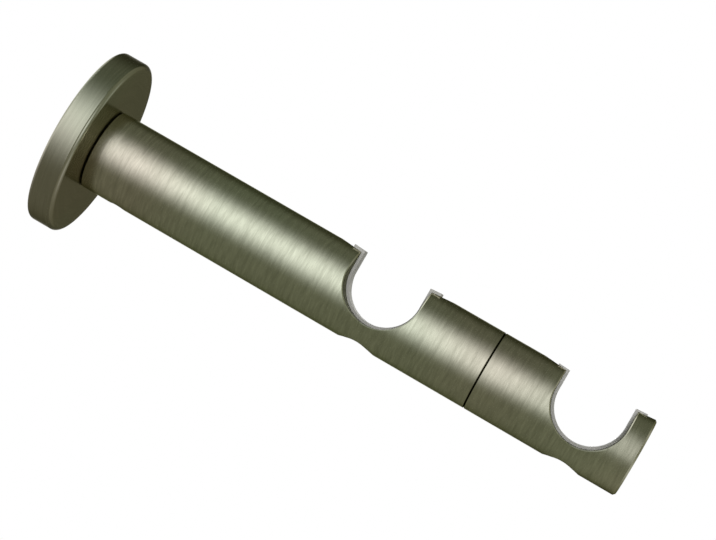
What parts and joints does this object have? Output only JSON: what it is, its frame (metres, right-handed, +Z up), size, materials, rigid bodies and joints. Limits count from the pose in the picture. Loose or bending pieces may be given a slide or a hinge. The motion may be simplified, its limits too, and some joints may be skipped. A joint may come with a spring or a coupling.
{
  "type": "curtain pole bracket",
  "caption": "Round bar wall bracket for two parallel curtain poles, with a turned rose and lined open cradles.",
  "frame": {"origin": "centre of the wall face, on the back of the wall plate", "axes": "-Y is along the arm away from the wall, X is along the poles, +Z is up and the cradles open to it"},
  "size_m": [0.054, 0.1811, 0.054],
  "materials": {
    "brushed_metal": "brushed round the axis and anodised in a satin nickel shade",
    "plated_steel": "bright zinc plated",
    "screw_steel": "zinc plated, slightly dull",
    "liner_plastic": "moulded, translucent pale grey"
  },
  "bodies": {
    "root": {"wall_plate": "plated_steel", "rosette": "brushed_metal", "arm": "brushed_metal", "arm_grub_screw": "screw_steel", "joining_stud": "screw_steel", "front_section": "brushed_metal", "rear_liner": "liner_plastic", "front_liner": "liner_plastic", "rear_pole_screw": "screw_steel", "front_pole_screw": "screw_steel"}
  },
  "joints": []
}
